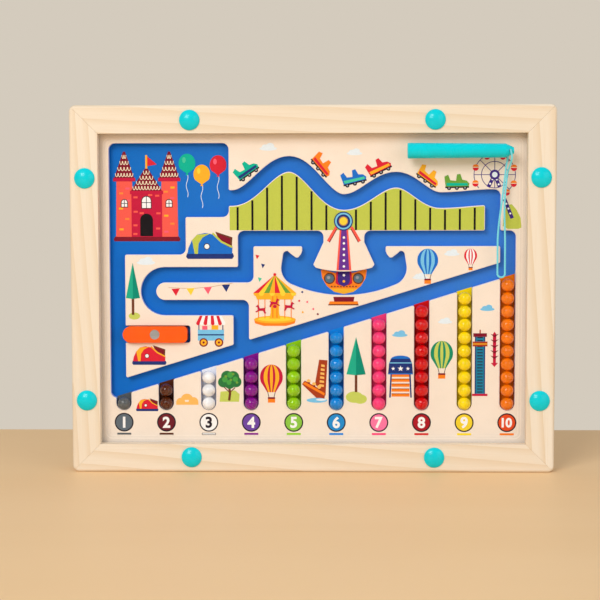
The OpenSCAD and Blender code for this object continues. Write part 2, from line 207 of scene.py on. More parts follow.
def wood_material(name, grain_axis, ring_gap, contrast):
    """Planed softwood with its grain along one axis and growth rings ring_gap mm apart."""
    material, tree, shader = new_material(name, Roughness=0.5)
    light, dark = (236, 225, 207), (224, 203, 172)
    along = [1.0, 1.0, 1.0]
    along[grain_axis] = 0.07
    rings = add_node(tree, "TexWave", {
        "Vector": position(tree, along), "Scale": 314.0 / ring_gap, "Distortion": 7.0,
        "Detail": 2.5, "Detail Scale": 0.35, "Detail Roughness": 0.55},
        wave_type="BANDS", bands_direction="DIAGONAL", wave_profile="SAW").outputs["Fac"]
    fibre_stretch = [900.0, 900.0, 900.0]
    fibre_stretch[grain_axis] = 22.0
    fibre = noise(tree, 1.0, fibre_stretch, detail=4.0, roughness=0.6)
    patch = noise(tree, 16.0, along, detail=2.0)
    base = vary(tree, rings, 0.45, 1.0, 0.75 * contrast, light, dark)
    toned = vary(tree, patch, 0.35, 0.7, 0.4 * contrast, base, dark)
    streaked = vary(tree, fibre, 0.5, 0.8, 0.45 * contrast, toned, dark)
    feed(tree, shader, streaked, remap(tree, fibre, 0.3, 0.7, 0.42, 0.6))
    bump(tree, shader, fibre, 0.00006)
    return material


def plywood_material():
    """Birch-faced plywood: quiet face grain, and darker cross plies on the panel's edge."""
    material, tree, shader = new_material("plywood", Roughness=0.55)
    grain = noise(tree, 1.0, (18, 500, 500), detail=5.0, roughness=0.6, distortion=0.4)
    flame = noise(tree, 30.0, (0.25, 1, 1), detail=3.0, distortion=1.2)
    face = vary(tree, grain, 0.4, 0.75, 0.7, (236, 212, 176), (206, 170, 126))
    face = vary(tree, flame, 0.45, 0.65, 0.35, face, (214, 180, 138))
    depth = axis_place(tree, "Y")
    first_ply = remap(tree, depth, 0.0072, 0.0074, 0.0, 1.0)
    last_ply = remap(tree, depth, 0.0086, 0.0088, 1.0, 0.0)
    core = add_node(tree, "Math", {0: first_ply, 1: last_ply},
                    operation="MULTIPLY").outputs[0]
    feed(tree, shader, mix(tree, core, face, (178, 134, 92)))
    bump(tree, shader, grain, 0.00005)
    return material


def plastic_material(name, colour, roughness=0.22, coat=0.25):
    """Moulded plastic with faint flow marks in its colour and sheen."""
    material, tree, shader = new_material(
        name, Coat_Weight=coat, Coat_Roughness=0.08, Specular_IOR_Level=0.15)
    flow = noise(tree, 90.0, detail=3.0, distortion=0.8)
    grain = noise(tree, 500.0, detail=2.0)
    feed(tree, shader, vary(tree, flow, 0.3, 0.8, 0.5, colour, darker(colour, 0.86)),
         remap(tree, flow, 0.3, 0.7, roughness, roughness + 0.12))
    bump(tree, shader, grain, 0.000004)
    return material


def bead_material(name, colour):
    """Glossy enamel over a steel ball: slight depth in the colour, thinner where it ran."""
    material, tree, shader = new_material(
        name, Coat_Weight=0.75, Coat_Roughness=0.05, Specular_IOR_Level=0.15)
    pool = noise(tree, 260.0, detail=2.0, distortion=0.5)
    feed(tree, shader, vary(tree, pool, 0.35, 0.75, 0.6, colour, darker(colour, 0.8)),
         remap(tree, pool, 0.3, 0.7, 0.2, 0.32))
    bump(tree, shader, noise(tree, 300.0, detail=2.0), 0.000004)
    return material


def metal_material(name, colour, roughness, stretch=(1, 1, 1)):
    """Plated or turned metal with fine tool marks."""
    material, tree, shader = new_material(name, Metallic=1.0)
    marks = noise(tree, 900.0, stretch, detail=4.0, roughness=0.65)
    feed(tree, shader, mix(tree, marks, darker(colour, 0.78), colour),
         remap(tree, marks, 0.3, 0.7, roughness, roughness + 0.18))
    bump(tree, shader, marks, 0.00002)
    return material


def floor_material():
    """Blue printed sheet at the bottom of the channels, a little paler to the right."""
    material, tree, shader = new_material("printed_floor", Roughness=0.4, Specular_IOR_Level=0.12)
    blue = vary(tree, axis_place(tree, "X"), -0.13, 0.13, 1.0, (0, 104, 194), (62, 126, 214))
    speckle = noise(tree, 1400.0, detail=2.0)
    feed(tree, shader, vary(tree, speckle, 0.3, 0.8, 0.3, blue, (6, 114, 206)))
    bump(tree, shader, speckle, 0.00001)
    return material


def board_material():
    """Cream printed face; where the channels are cut, a painted white highlight rim over lavender
    walls.
    """
    material, tree, shader = new_material("printed_board", Roughness=0.42, Specular_IOR_Level=0.2)
    depth = axis_place(tree, "Y")
    paper = noise(tree, 60.0, detail=4.0, roughness=0.6)
    speckle = noise(tree, 1800.0, detail=2.0)
    cream = vary(tree, paper, 0.35, 0.7, 0.6, (240, 226, 211), (234, 219, 202))
    cream = vary(tree, speckle, 0.55, 0.8, 0.25, cream, (224, 206, 184))
    highlight_rim_start, highlight_rim_full, wall_start, wall_full = [
        (RAISED_Y + below) * MM for below in (0.06, 0.18, 0.8, 2.4)]
    # The white band just below the face is a painted highlight along every cut edge; the lavender
    # deeper down is the walls' own colour.
    edge = vary(tree, depth, wall_start, wall_full, 1.0, (240, 238, 250), (160, 178, 236))
    feed(tree, shader, vary(tree, depth, highlight_rim_start, highlight_rim_full, 1.0, cream, edge))
    bump(tree, shader, speckle, 0.00001)
    return material


def ink_material():
    """Print: each shape's own colour with a fine screen and a satin face."""
    material, tree, shader = new_material("print_ink", Roughness=0.4, Specular_IOR_Level=0.15)
    colour = add_node(tree, "VertexColor", layer_name="ink").outputs["Color"]
    screen = noise(tree, 1500.0, detail=2.0)
    share = remap(tree, screen, 0.3, 0.8, 0.0, 0.3)
    feed(tree, shader, mix(tree, share, colour, (226, 224, 220), "MULTIPLY"))
    bump(tree, shader, screen, 0.00001)
    return material


def clear_material():
    """Clear moulded plastic: light passes straight through, with a sheen at low angles."""
    material, tree = empty_material("clear_plastic")
    fresnel = add_node(tree, "Fresnel", {"IOR": 1.3}).outputs[0]
    share = remap(tree, fresnel, 0.02, 0.6, 0.0, 0.14)
    ripple = noise(tree, 25.0, detail=1.0)
    sheen = add_node(tree, "BsdfGlossy", {
        "Color": share, "Roughness": remap(tree, ripple, 0.3, 0.7, 0.05, 0.12)})
    clear = add_node(tree, "BsdfTransparent", {"Color": (0.994, 0.996, 0.998, 1)})
    both = add_node(tree, "AddShader", {0: clear.outputs[0], 1: sheen.outputs[0]})
    add_node(tree, "OutputMaterial", {"Surface": both.outputs[0]})
    return material


def cord_material():
    """Soft braided polyester with fuzz along its plies."""
    material, tree, shader = new_material(
        "cord", Roughness=0.7, Sheen_Weight=0.4, Sheen_Roughness=0.4)
    fuzz = noise(tree, 2600.0, detail=3.0, roughness=0.7)
    feed(tree, shader, mix(tree, fuzz, (70, 205, 222), (150, 236, 246)))
    bump(tree, shader, fuzz, 0.00005)
    return material


def set_material(node_name, material):
    """Gives a CAD node its finish in place of any other."""
    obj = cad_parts[node_name]
    obj.data.materials.clear()
    obj.data.materials.append(material)


def finish_cad_nodes(shared):
    """Puts the finishes on every CAD node that stays visible."""
    for side, grain_axis, ring_gap, contrast in (("top", 0, 4.2, 1.0), ("bottom", 0, 3.6, 1.1),
                                                 ("left", 2, 3.9, 1.0), ("right", 2, 4.6, 1.2)):
        wood = wood_material(f"pine_{side}", grain_axis, ring_gap, contrast)
        set_material(f"{side}_rail", wood)
    finishes = {
        "back_panel": plywood_material(), "floor_sheet": floor_material(),
        "frame_screws": metal_material("zinc_steel", (218, 221, 226), 0.3),
        "maze_surround": shared["board"], "upper_island": shared["board"],
        "lower_island": shared["board"], "clear_lid": clear_material(),
        "gate_slider": plastic_material("orange_plastic", (255, 92, 0), 0.3, 0.4),
        "gate_steel_disc": metal_material("bright_steel", (206, 214, 226), 0.32, (0.08, 1, 1)),
        "wand_body": shared["turquoise"], "wand_end_cap": shared["turquoise"],
        "wand_magnet": metal_material("magnet", (175, 178, 180), 0.22)}
    for node_name, material in finishes.items():
        set_material(node_name, material)
    for colour, value in BEAD_COLOURS.items():
        enamel = bead_material(f"{colour}_bead_coat", value)
        nodes = ["bead"] if colour == "grey" else ["lower_beads", "top_bead"]
        for node_name in nodes:
            set_material(f"{colour}_{node_name}", enamel)


def welded(node_name):
    """A CAD node whose faces are joined by a modifier, ready for the modifiers after it."""
    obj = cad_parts[node_name]
    obj.modifiers.new("weld", "WELD").merge_threshold = 0.01 * MM
    return obj


def soften_edges(node_name, width, clamp=False):
    """Rounds a CAD node's sharp edges with modifiers; its own mesh stays as it is.

    A clamped bevel stops where it would meet its neighbour, as round the gate's pocket.
    """
    obj = welded(node_name)
    flatten = obj.modifiers.new("flatten", "DECIMATE")
    flatten.decimate_type = "DISSOLVE"
    flatten.angle_limit = radians(0.5)
    bevel = obj.modifiers.new("bevel", "BEVEL")
    bevel.width = width * MM
    bevel.use_clamp_overlap = clamp
    bevel.segments = 3
    bevel.limit_method = "ANGLE"
    bevel.angle_limit = radians(35)


def draw_in(node_name, gap):
    """Draws a CAD node's skin in by a hair, so that it doesn't share a plane with the next."""
    shrink = welded(node_name).modifiers.new("draw_in", "DISPLACE")
    shrink.mid_level = 0.0
    shrink.strength = -gap * MM


# ---------- pieces built here ----------


def add_object(name, data):
    """Puts a mesh, curve, light or camera in the scene."""
    obj = bpy.data.objects.new(name, data)
    bpy.context.scene.collection.objects.link(obj)
    return obj


def add_piece(name, vertices, faces, material, body, smooth=False):
    """A mesh piece from millimetre vertices that rides on a CAD body."""
    mesh = bpy.data.meshes.new(name)
    mesh.from_pydata([Vector(vertex) * MM for vertex in vertices], [], faces)
    mesh.polygons.foreach_set("use_smooth", [smooth] * len(faces))
    mesh.materials.append(material)
    obj = add_object(name, mesh)
    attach(obj, body)
    return obj


def lathe(profile, spot, segments=64):
    """Closed shape turned about an axis along Y through spot; profile runs from axis to axis."""
    x, z = spot
    vertices, faces, rows = [], [], []
    for radius, y in profile:
        if radius == 0:
            rows.append([len(vertices)] * segments)
            vertices.append((x, y, z))
            continue
        rows.append(list(range(len(vertices), len(vertices) + segments)))
        for step in range(segments):
            angle = tau * step / segments
            vertices.append((x + radius * cos(angle), y, z + radius * sin(angle)))
    for upper, lower in zip(rows, rows[1:]):
        for step in range(segments):
            after = (step + 1) % segments
            corners = [upper[step], lower[step], lower[after], upper[after]]
            faces.append(list(dict.fromkeys(corners)))
    return vertices, faces


def cap_profile():
    """Half section of a domed cap with a softened rim, its barrel and the screw's bore."""
    cap_r, height, rim, soft, dome_steps = 6.3, 2.8, 0.6, 0.3, 12
    barrel_r, barrel_end, bore_r, bore_end = 2.6, FACE_Y + 12, 1.53, FACE_Y + 2
    rise = height - rim
    sphere_r = (cap_r ** 2 + rise ** 2) / (2 * rise)
    crown_y = FACE_Y - height
    reach = asin((cap_r - soft) / sphere_r)
    dome = [(0, crown_y)]
    for step in range(1, dome_steps + 1):
        angle = reach * step / dome_steps
        dome.append((sphere_r * sin(angle), crown_y + sphere_r * (1 - cos(angle))))
    edge = [(cap_r - 0.1, FACE_Y - rim), (cap_r, FACE_Y - rim + 0.2), (cap_r, FACE_Y - 0.1),
            (cap_r - 0.1, FACE_Y)]
    barrel = [(barrel_r, FACE_Y), (barrel_r, barrel_end), (bore_r, barrel_end),
              (bore_r, bore_end), (0, bore_end)]
    return dome + edge + barrel


def build_caps(material):
    """The eight turquoise caps as one piece."""
    vertices, faces = [], []
    for spot in CAP_SPOTS:
        cap_vertices, cap_faces = lathe(cap_profile(), spot)
        start = len(vertices)
        vertices += cap_vertices
        faces += [[start + index for index in face] for face in cap_faces]
    caps = add_piece("caps", vertices, faces, material, "board", smooth=True)
    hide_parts("cap_nuts")


def blend(t):
    """Eases from 0 to 1 as t does."""
    return (1 - cos(pi * t)) / 2


def strand(drop, side):
    """Place on one side of the cord's loop, drop mm below the wand's eye."""
    opening_start, opening_length, sway_length = 24, 34, 55
    opening = blend(min(max((drop - opening_start) / opening_length, 0), 1))
    narrow = CORD_D / 2 + 0.05
    gap = narrow + (CORD_LOOP_R - narrow) * opening
    sway = -CORD_SWAY * sin(radians(90 * min(drop / sway_length, 1)))
    return Vector((EYE_X + sway + side * gap, CORD_Y, WAND_Z - drop))


def cord_corners():
    """Points the closed cord passes through, from the wand's eye, down and back."""
    straight = CORD_DROP - CORD_LOOP_R
    low = strand(straight, 0)
    drops = [8 + (straight - 8) * step / 12 for step in range(13)]
    down = [strand(drop, -1) for drop in drops]
    turn = [low - CORD_LOOP_R * Vector((cos(radians(angle)), 0,
                                        sin(radians(angle))))
            for angle in range(20, 161, 20)]
    up = [strand(drop, 1) for drop in reversed(drops[1:])]
    return ([Vector((EYE_X, WAND_Y, WAND_Z)), Vector((EYE_X, CORD_Y, WAND_Z))] + down + turn + up
            + [Vector((EYE_X + 0.7, CORD_FRONT_Y, WAND_Z - 5)),
               Vector((EYE_X, CORD_FRONT_Y, WAND_Z))])


def smooth_loop(corners, steps):
    """Closed line through the corners, with steps points from each to the next."""
    count = len(corners)
    line = []
    for index in range(count):
        before, start = corners[index - 1], corners[index]
        end, after = corners[(index + 1) % count], corners[(index + 2) % count]
        for step in range(steps):
            t = step / steps
            line.append(0.5 * (2 * start + (end - before) * t
                               + (2 * before - 5 * start + 4 * end - after) * t ** 2
                               + (3 * start - before - 3 * end + after) * t ** 3))
            line[-1].y = max(line[-1].y, CORD_FRONT_Y)
    return line


def even_loop(line, gap):
    """The closed line again, with points gap apart."""
    lengths = [(line[(i + 1) % len(line)] - line[i]).length for i in range(len(line))]
    total = sum(lengths)
    count = round(total / gap)
    points, index, done = [], 0, 0.0
    for step in range(count):
        wanted = total * step / count
        while done + lengths[index] < wanted:
            done += lengths[index]
            index += 1
        share = (wanted - done) / lengths[index]
        points.append(line[index].lerp(line[(index + 1) % len(line)], share))
    return points


def build_cord(material):
    """Three plies twisted round the cord's line."""
    plies, ply_sides, ply_r, twists, point_gap = 3, 8, 0.33, 56, 0.32
    line = even_loop(smooth_loop(cord_corners(), 8), point_gap)
    offset_r = CORD_D / 2 - ply_r
    vertices, faces = [], []
    count = len(line)
    for ply in range(plies):
        start = len(vertices)
        for index, point in enumerate(line):
            ahead = (line[(index + 1) % count] - line[index - 1]).normalized()
            across = ahead.cross(Vector((0.05, 1, 0.02))).normalized()
            upright = across.cross(ahead)
            turn = tau * (twists * index / count + ply / plies)
            centre = point + offset_r * (cos(turn) * across + sin(turn) * upright)
            for side in range(ply_sides):
                angle = tau * side / ply_sides
                vertices.append(centre + ply_r * (cos(angle) * across
                                                  + sin(angle) * upright))
        for index in range(count):
            this_row = start + index * ply_sides
            next_row = start + (index + 1) % count * ply_sides
            for side in range(ply_sides):
                after = (side + 1) % ply_sides
                faces.append([this_row + side, next_row + side, next_row + after,
                              this_row + after])
    cord = add_piece("twisted_cord", vertices, faces, material, "cord", smooth=True)
    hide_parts("wand_cord")


# ---------- printed pictures ----------


def paint(colour):
    """Linear RGBA of one of PAINT's colours or of a screen colour."""
    return srgb(*(PAINT[colour] if isinstance(colour, str) else colour))


def around(radius, degrees):
    """Place on a circle about 0, 0, by its angle in degrees."""
    turn = radians(degrees)
    return radius * cos(turn), radius * sin(turn)


def oval(x, z, rx, rz, start=0, end=360, steps=36):
    """Oval, or the part of it from angle start to angle end in degrees."""
    whole = end - start >= 360
    turns = [radians(start + (end - start) * i / steps)
             for i in range(steps if whole else steps + 1)]
    return [(x + rx * cos(turn), z + rz * sin(turn)) for turn in turns]


def arch(x, z, rx, rz, steps):
    """Upper half of an oval, from right to left."""
    return oval(x, z, rx, rz, 0, 180, steps)


def cup(x, z, rx, rz, steps):
    """Lower half of an oval, from left to right."""
    return oval(x, z, rx, rz, 180, 360, steps)


def line_beside(points, reach):
    """The line through the points, moved to its left by reach."""
    moved = []
    for index, (x, z) in enumerate(points):
        x0, z0 = points[max(index - 1, 0)]
        x1, z1 = points[min(index + 1, len(points) - 1)]
        share = reach / hypot(x1 - x0, z1 - z0)
        moved.append((x + (z0 - z1) * share, z + (x1 - x0) * share))
    return moved


def pen_line(points, width):
    """A line through the points, drawn with a flat pen of this width."""
    return line_beside(points, width / 2) + line_beside(points, -width / 2)[::-1]


def star(x, z, radius, points=5, waist=0.42):
    return [(x + radius * (waist if i % 2 else 1) * sin(pi * i / points),
             z + radius * (waist if i % 2 else 1) * cos(pi * i / points))
            for i in range(2 * points)]


class Print:
    """Printed shapes on one surface: closed films, each level a little proud of the last.

    Films on one level differ by small steps, so that no two share a plane.
    """

    FILM, STEP, SUNK = 0.03, 0.0006, 0.02

    def __init__(self, surface):
        self.surface = surface
        self.vertices, self.faces, self.colours = [], [], []
        self.at(0, 0)

    def at(self, x, z, turn=0, size=1, level=0):
        """Shapes that follow are drawn round this place, turned by degrees and scaled."""
        self.origin = (x, z)
        self.cos = cos(radians(turn)) * size
        self.sin = sin(radians(turn)) * size
        self.level = level

    def _placed(self, point):
        x, z = point
        return (self.origin[0] + x * self.cos - z * self.sin,
                self.origin[1] + x * self.sin + z * self.cos)

    def shape(self, outline, colour, level=1):
        """A filled outline in one of PAINT's colours or a screen colour."""
        points = [self._placed(point) for point in outline]
        area = sum(a[0] * b[1] - b[0] * a[1] for a, b in zip(points, points[1:] + points[:1]))
        if area < 0:
            points.reverse()
        count, start = len(points), len(self.vertices)
        step = self.STEP * (len(self.faces) % 32)
        front = self.surface - self.FILM * (self.level + level) - step
        self.vertices += [(x, front, z) for x, z in points]
        self.vertices += [(x, self.surface + self.SUNK, z) for x, z in points]
        made = [list(range(start, start + count)),
                list(range(start + 2 * count - 1, start + count - 1, -1))]
        for index in range(count):
            after = (index + 1) % count
            made.append([start + index, start + count + index, start + count + after,
                         start + after])
        self.faces += made
        self.colours += [paint(colour)] * len(made)

    def box(self, x0, z0, x1, z1, colour, level=1):
        self.shape([(x0, z0), (x1, z0), (x1, z1), (x0, z1)], colour, level)

    def mirrored(self, half, colour, level=1):
        """A filled outline given by its right half, from one end to the other."""
        self.shape(half + [(-x, z) for x, z in half[::-1] if x], colour, level)

    def oval(self, x, z, rx, rz, colour, level=1):
        self.shape(oval(x, z, rx, rz), colour, level)

    def disc(self, x, z, radius, colour, level=1):
        self.oval(x, z, radius, radius, colour, level)

    def stroke(self, points, width, colour, level=1):
        self.shape(pen_line(points, width), colour, level)

    def numeral(self, text, x, z, height, colour, level=1):
        """A bold numeral from Blender's own font, centred on x, z."""
        digit_share = 0.73
        curve = bpy.data.curves.new("numeral", "FONT")
        curve.body = text
        curve.size = height / digit_share
        curve.offset = 0.05 * height
        curve.space_character = 0.95
        curve.extrude = self.FILM / 2
        curve.resolution_u = 4
        writer = add_object("numeral", curve)
        bpy.context.view_layer.update()
        mesh = bpy.data.meshes.new_from_object(
            writer.evaluated_get(bpy.context.evaluated_depsgraph_get()))
        xs = [vertex.co.x for vertex in mesh.vertices]
        ys = [vertex.co.y for vertex in mesh.vertices]
        middle_x, middle_y = (min(xs) + max(xs)) / 2, (min(ys) + max(ys)) / 2
        face_y = self.surface - self.FILM * (self.level + level)
        start = len(self.vertices)
        for vertex in mesh.vertices:
            px, pz = self._placed((x + vertex.co.x - middle_x, z + vertex.co.y - middle_y))
            self.vertices.append((px, face_y - vertex.co.z, pz))
        self.faces += [[start + index for index in polygon.vertices]
                       for polygon in mesh.polygons]
        self.colours += [paint(colour)] * len(mesh.polygons)
        bpy.data.objects.remove(writer)
        bpy.data.meshes.remove(mesh)
        bpy.data.curves.remove(curve)

    def finish(self, name, material):
        """Turns what was drawn into one piece that rides on the board."""
        obj = add_piece(name, self.vertices, self.faces, material, "board")
        layer = obj.data.color_attributes.new("ink", "BYTE_COLOR", "CORNER")
        values = []
        for polygon, colour in zip(obj.data.polygons, self.colours):
            values += list(colour) * polygon.loop_total
        layer.data.foreach_set("color", values)


def column_x(number):
    return COLUMN_FIRST_X + COLUMN_PITCH * (number - 1)


def ramp_z(x):
    return RAMP_START_Z + (x - COLUMN_FIRST_X) * BEAD_PITCH / COLUMN_PITCH


def wave_line(steps=12):
    """Middle of the coaster channel, in steps from each turning point to the next."""
    line = []
    for (x0, z0), (x1, z1) in zip(WAVE, WAVE[1:]):
        for step in range(steps):
            t = step / steps
            line.append((x0 + (x1 - x0) * t, z0 + (z1 - z0) * blend(t)))
    return line + [WAVE[-1]]


def wave_edge(side):
    """One edge of the coaster channel: side 1 is the upper, -1 the lower."""
    return line_beside(wave_line(), side * CHANNEL_WIDTH / 2)


def height_at(line, x):
    """Height of a line that runs to the right, at x."""
    for (x0, z0), (x1, z1) in zip(line, line[1:]):
        if x0 <= x <= x1:
            return z0 + (z1 - z0) * (x - x0) / (x1 - x0)
    return line[-1][1]


def print_columns(ink):
    """Coloured bottoms of the counting columns, on the floor sheet."""
    for number, colour in enumerate(BEAD_COLOURS.values(), start=1):
        x, half = column_x(number), COLUMN_WIDTH / 2
        low = COLUMN_BASE_Z + half
        foot = cup(x, low, half, half, 16)
        ink.shape(foot + [(x + half, ramp_z(x + half)), (x - half, ramp_z(x - half))], colour)


def print_counting(ink):
    """Numbered discs with a bar of the bead's colour below each."""
    for number, fill in enumerate(DISC_COLOURS, start=1):
        x = column_x(number)
        ink.at(x, 30)
        print_rings(ink, 0, 0, ((5.95, "ink"), (5.15, fill)), 1)
        digit = "ink" if number == 3 else "white"
        ink.numeral(str(number), 0, 0, 6.8 if number < 10 else 5.8, digit, 3)
        bar = list(BEAD_COLOURS.values())[number - 1]
        ink.box(-4.4, -7.9, 4.4, -6.7, "ink" if number == 3 else bar)
        if number == 3:
            ink.box(-4.1, -7.6, 4.1, -7.0, "white", 2)


def print_rings(ink, x, z, rings, level):
    """Discs about one centre, each one level above the last."""
    for step, (radius, colour) in enumerate(rings):
        ink.disc(x, z, radius, colour, level + step)


def print_cloud(ink, x, z, size, colour="cloud"):
    ink.at(x, z, 0, size)
    ink.oval(0, 0, 6.4, 1.5, colour)
    ink.oval(-2.2, 1.1, 2.6, 1.9, colour)
    ink.oval(1.4, 1.7, 3.0, 2.4, colour)


def print_pine(ink, x, base, height, half):
    """A fir as one tall cone, lit from the left, on a thin trunk."""
    ink.at(x, base)
    ink.box(-0.8, -height * 0.48, 0.8, 0.5, "brown")
    ink.mirrored([(0, -0.6), (half, 0), (0, height)], "pine", 2)
    ink.shape([(0, -0.6), (half, 0), (0, height)], "spruce", 3)


def print_round_tree(ink, x, z):
    ink.at(x, z)
    ink.shape([(-6.4, -13.4), (5.8, -13.4), (6.2, -8.6), (3.4, -6.2), (-5.8, -7)], "grass")
    ink.stroke([(-0.4, -12.6), (0.2, -8), (-0.4, -3)], 1.5, "brown", 2)
    ink.stroke([(-3.6, -4), (0, -7.6), (3.4, -4.4)], 0.7, "brown", 2)
    crown = (("forest", 3, ((-4.0, -1.0, 3.3), (4.0, -0.8, 3.4), (-1.6, 2.4, 3.8), (2.2, 2.2, 3.8),
                            (0, -1.6, 3.6))),
             ("green", 4, ((-3.0, 0.6, 1.7), (0.4, 3.6, 1.9), (3.6, 0.9, 1.6), (-0.4, -1.2, 1.5))),
             ("leaf", 5, ((-2.4, 2.6, 0.9), (2.2, 4.1, 0.8), (4.6, -1.2, 0.8), (0.8, 0.4, 0.8))))
    for colour, level, discs in crown:
        for px, pz, radius in discs:
            ink.disc(px, pz, radius, colour, level)


def print_bush(ink, x, z, size, colour):
    ink.at(x, z, 0, size)
    for px, pz, radius in ((-3.6, 0, 2.6), (0, 1.4, 3.6), (3.7, 0.2, 2.8)):
        ink.shape(arch(px, pz, radius, radius, 18), colour)
    ink.shape([(-6.2, 0.3), (-6.2, -1.4), (6.5, -1.4), (6.5, 0.3)], colour)


def print_balloon(ink, x, z, colour, glint):
    """A party balloon on a wavy string."""
    ink.at(x, z)
    ink.stroke([(sin(step * 0.9) * 0.6, -6 - 1.5 * step) for step in range(11)], 0.35,
               "cloud")
    body = oval(0, 0, 5.2, 6.0, -35, 215, 30) + [(-1.2, -5.6), (0, -6.6), (1.2, -5.6)]
    ink.shape(body, colour, 2)
    ink.shape([(-1, -7.3), (1, -7.3), (0, -5.9)], colour, 3)
    ink.oval(-1.9, 2.1, 1.1, 1.8, glint, 4)


def print_air_balloon(ink, x, z, outer, stripe, size):
    """A striped hot-air balloon with its basket."""
    ink.at(x, z, 0, size)
    ink.shape(oval(0, 0, 5.4, 6.0, -25, 205, 30) + [(-2.0, -7.2), (2.0, -7.2)], outer, 2)
    for half, colour, level in ((3.7, stripe, 3), (1.9, outer, 4), (0.7, stripe, 5)):
        gore = oval(0, 0, half, 6.0, -20, 200, 26)
        ink.shape(gore + [(-half * 0.4, -7.2), (half * 0.4, -7.2)], colour, level)
    for side in (-1, 1):
        ink.stroke([(side * 1.8, -7.2), (side * 1.2, -9.6)], 0.3, "ink")
    ink.box(-1.7, -12.2, 1.7, -9.6, "orange", 2)
    ink.box(-1.7, -10.4, 1.7, -9.6, "maroon", 3)


def print_roof(ink, half, height, rows):
    """A pointed roof with rows of pale scallops, standing on the present place."""
    ink.mirrored([(half, 0), (half * 0.1, height)], "maroon", 3)
    for row in range(rows):
        z = height * (row + 0.2) / (rows + 0.4)
        width = half * (1 - (z + 1) / height)
        count = max(2, round(2 * width / 2.0))
        scallop = width / count
        for index in range(count):
            x = -width + scallop * (2 * index + 1)
            ink.stroke(cup(x, z + 2.4, scallop * 0.86, 2.2, 10), 0.38, "cream", 4)
    ink.box(-half - 0.6, -1.9, half + 0.6, 0.2, "crimson", 5)


def print_window(ink, x, z, half, height):
    """Arched window with glazing bars."""
    bar = 0.45
    inner = half - bar
    for reach, sill, colour, level in ((half, z, "ink", 5), (inner, z + bar, "white", 6)):
        ink.shape(arch(x, z + height - half, reach, reach, 14)
                  + [(x - reach, sill), (x + reach, sill)], colour, level)
    ink.box(x - 0.2, z + 0.3, x + 0.2, z + height - 0.3, "ink", 7)
    ink.box(x - inner, z + height * 0.45, x + inner, z + height * 0.45 + 0.4, "ink", 7.2)


def print_castle(ink):
    """A two-towered castle with a flag, on the blue floor of its bay."""
    ink.at(-103.8, 143.6)
    ink.mirrored([(20.5, 0), (21, 1.4), (20, 3)], "maroon", 2)
    for x in (-14, 14.2):
        ink.shape([(x - 5.4, 2.8), (x + 5.4, 2.8), (x + 4.9, 39.4), (x - 4.9, 39.4)], "coral", 2)
    ink.box(-9.6, 2.8, 9.6, 31, "crimson", 3)
    bricks = ((-16, 30, "brick"), (-11.8, 25.5, "rose"), (-16.2, 20.5, "amber"),
              (-12.3, 14, "brick"), (-16, 7.5, "amber"), (-12, 33, "rose"), (12, 31, "brick"),
              (16, 27, "rose"), (12.2, 16, "amber"), (16, 11, "brick"), (12.2, 6, "rose"),
              (16.2, 33.6, "amber"), (-7, 27.5, "coral"), (6.6, 28.5, "coral"),
              (-7.2, 10, "coral"), (7, 8, "coral"), (7.3, 17.5, "coral"), (-7, 18.5, "coral"),
              (2.2, 29, "coral"), (-3.2, 17.6, "coral"), (-7.3, 4.6, "coral"))
    for x, z, colour in bricks:
        ink.box(x - 1.3, z - 0.6, x + 1.3, z + 0.6, colour, 4)
    ink.shape(arch(-0.2, 13.3, 4.0, 4.0, 18) + [(-4.2, 3.2), (3.8, 3.2)], "black", 5)
    print_window(ink, -0.2, 20.4, 3.2, 8.0)
    print_window(ink, -14, 21.2, 2.2, 5.2)
    print_window(ink, 14, 21.2, 2.2, 5.2)
    for x, z, half, height in ((-117.8, 183, 6.3, 16.6), (-89.6, 183, 6.3, 16.6),
                               (-103.9, 175, 9.8, 14)):
        ink.at(x, z, level=2)
        print_roof(ink, half, height, 4)
    ink.at(-103.9, 187, level=1)
    ink.box(-0.6, 0, 0.6, 10.4, "amber", 2)
    ink.shape([(0.6, 9.6), (0.6, 3.6), (6.6, 4.6)], "red", 3)


def print_bumper_car(ink, x, z, body, size, trim):
    """A fairground bumper car seen from the side."""
    ink.at(x, z, 0, size)
    ink.shape([(-14, 0.6), (-13, -0.8), (13.5, -0.8), (14.5, 0.8), (13.8, 2.6), (-13.4, 2.6)],
              "navy", 2)
    ink.shape([(3.4, 15.4), (13.6, 12), (13.2, 6), (7.5, 6)], "brown", 2)
    ink.shape([(4.6, 14.2), (12.4, 11.4), (12.2, 8), (8, 7.6)], "maroon", 3)
    hull = [(-13.2, 2.2), (-12.6, 5.6), (-10.5, 10.2), (-7.5, 13.6), (-2.5, 14.6), (2.4, 13.6),
            (6.8, 9.6), (11, 6.4), (13.6, 6), (13.4, 2.2)]
    ink.shape(hull, body, 4)
    ink.shape([(-8.9, 2.2), (-7, 2.2), (-6.5, 8.4), (-4, 12), (0.5, 14.3), (-7.4, 13.6),
               (-10.4, 10.4), (-9.6, 6)], trim, 5)
    ink.stroke([(1.8, 14.4), (7, 9.4), (13.4, 6.2)], 1.1, trim, 6)
    print_rings(ink, -1.6, 6.6, ((1.9, "ink"), (1.45, "white")), 6)


def lowest_on_rail(x, turn, half_length, wheel_drop):
    """Height at which a car at x, turned by degrees, just clears the coaster channel's edge."""
    rail = wave_edge(1)
    level, rise = around(1, turn)
    heights = []
    for step in range(-8, 9):
        along = half_length * step / 8
        reach, drop = along * level + wheel_drop * rise, along * rise - wheel_drop * level
        heights.append(height_at(rail, x + reach) + RAIL_GAP - drop)
    return max(heights)


